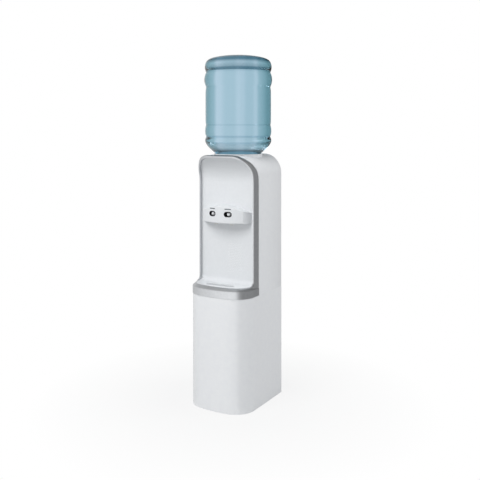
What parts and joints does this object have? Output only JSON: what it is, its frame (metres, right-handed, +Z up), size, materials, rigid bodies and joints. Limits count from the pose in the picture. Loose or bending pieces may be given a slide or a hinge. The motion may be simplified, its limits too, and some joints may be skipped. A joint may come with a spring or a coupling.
{
  "type": "top-load water cooler",
  "caption": "Slim free-standing water cooler with an upside-down bottle on top, recessed tap alcove, push buttons, drip tray and a rear wire condenser.",
  "frame": {"origin": "on the floor, under the middle of the overall box", "axes": "+Z up, -Y the front with the taps, +X the right-hand side seen from the back of the room looking along +Y"},
  "size_m": [0.2746, 0.3297, 1.366],
  "materials": {
    "white_paint": "smooth white powder coat",
    "white_plastic": "glossy white moulding",
    "satin_trim": "satin silver-grey",
    "clear_blue": "clear light blue",
    "cap_blue": "plain",
    "button_white": "glossy",
    "lens_grey": "smoked lens",
    "black_plastic": "fine texture",
    "rocker_blue": "plain",
    "rocker_red": "plain",
    "clear_probe": "natural plastic",
    "soft_rubber": "dull",
    "stainless": "brushed",
    "zinc_steel": "zinc plated",
    "copper": "drawn copper",
    "black_steel": "black enamel",
    "foam": "closed-cell foam"
  },
  "bodies": {
    "cabinet": {"base_tray": "black_plastic", "feet": "soft_rubber", "cabinet_wrap": "white_paint", "lower_front": "white_plastic", "rear_panel": "white_paint", "case_screws": "zinc_steel", "trim_frame": "satin_trim", "recess_panel": "white_plastic", "tap_housing": "white_plastic", "housing_floor": "white_plastic", "indicator_lenses": "lens_grey", "button_bezels": "black_plastic", "cold_tap_body": "black_plastic", "hot_tap_body": "black_plastic", "valve_springs": "stainless", "tap_nuts": "stainless", "bottle_seat": "white_plastic", "water_probe": "clear_probe", "tank_gasket": "soft_rubber", "cold_tank": "stainless", "cold_baffle": "white_plastic", "evaporator_sleeve": "copper", "insulation_left": "foam", "insulation_right": "foam", "upper_shelf": "zinc_steel", "hot_tank": "stainless", "heater_band": "stainless", "hot_jacket": "foam", "hot_limiter": "stainless", "lower_shelf": "zinc_steel", "cold_hose": "soft_rubber", "hot_hose": "soft_rubber", "feed_hose": "soft_rubber", "drain_hose": "soft_rubber", "compressor_pot": "black_steel", "compressor_plate": "zinc_steel", "compressor_grommets": "soft_rubber", "compressor_bolts": "zinc_steel", "relay_box": "black_plastic", "filter_drier": "copper", "suction_pipe": "copper", "capillary_tube": "copper", "discharge_pipe": "copper", "condenser_tube": "black_steel", "condenser_wires": "black_steel", "condenser_clips": "zinc_steel", "drain_spigot": "clear_probe", "switch_frame": "black_plastic", "thermostat_body": "black_plastic", "power_inlet": "black_plastic"},
    "bottle": {"bottle": "clear_blue", "bottle_cap": "cap_blue"},
    "drip_tray": {"drip_tray": "white_plastic"},
    "drip_grille": {"drip_grille": "white_plastic"},
    "cold_button": {"cold_button": "button_white"},
    "hot_button": {"hot_button": "button_white"},
    "cold_rocker": {"cold_rocker": "rocker_blue"},
    "hot_rocker": {"hot_rocker": "rocker_red"},
    "thermostat_knob": {"thermostat_knob": "black_plastic"},
    "drain_cap": {"drain_cap": "black_plastic"}
  },
  "joints": [
    {"name": "bottle_lift", "type": "slide", "parent": "cabinet", "child": "bottle", "axis": [0, 0, 1], "range_m": [0, 0.15]},
    {"name": "tray_lift", "type": "slide", "parent": "cabinet", "child": "drip_tray", "axis": [0, 0, 1], "range_m": [0, 0.05]},
    {"name": "grille_lift", "type": "slide", "parent": "drip_tray", "child": "drip_grille", "axis": [0, 0, 1], "range_m": [0, 0.03]},
    {"name": "cold_press", "type": "slide", "parent": "cabinet", "child": "cold_button", "axis": [0, 1, 0], "range_m": [0, 0.004], "stiffness_N_per_m": 500, "springref_m": -0.002, "deforming": ["valve_springs"]},
    {"name": "hot_press", "type": "slide", "parent": "cabinet", "child": "hot_button", "axis": [0, 1, 0], "range_m": [0, 0.004], "stiffness_N_per_m": 500, "springref_m": -0.002, "deforming": ["valve_springs"]},
    {"name": "cold_switch", "type": "hinge", "parent": "cabinet", "child": "cold_rocker", "pos_m": [-0.013, 0.1419, 0.29996], "axis": [1, 0, 0], "range_deg": [-8, 8]},
    {"name": "hot_switch", "type": "hinge", "parent": "cabinet", "child": "hot_rocker", "pos_m": [0.013, 0.1419, 0.29996], "axis": [1, 0, 0], "range_deg": [-8, 8]},
    {"name": "thermostat_turn", "type": "hinge", "parent": "cabinet", "child": "thermostat_knob", "pos_m": [0, 0.1469, 0.25], "axis": [0, 1, 0], "range_deg": [0, 270]},
    {"name": "drain_cap_turn", "type": "hinge", "parent": "cabinet", "child": "drain_cap", "pos_m": [0, 0.1469, 0.38005], "axis": [0, 1, 0], "continuous": true}
  ]
}
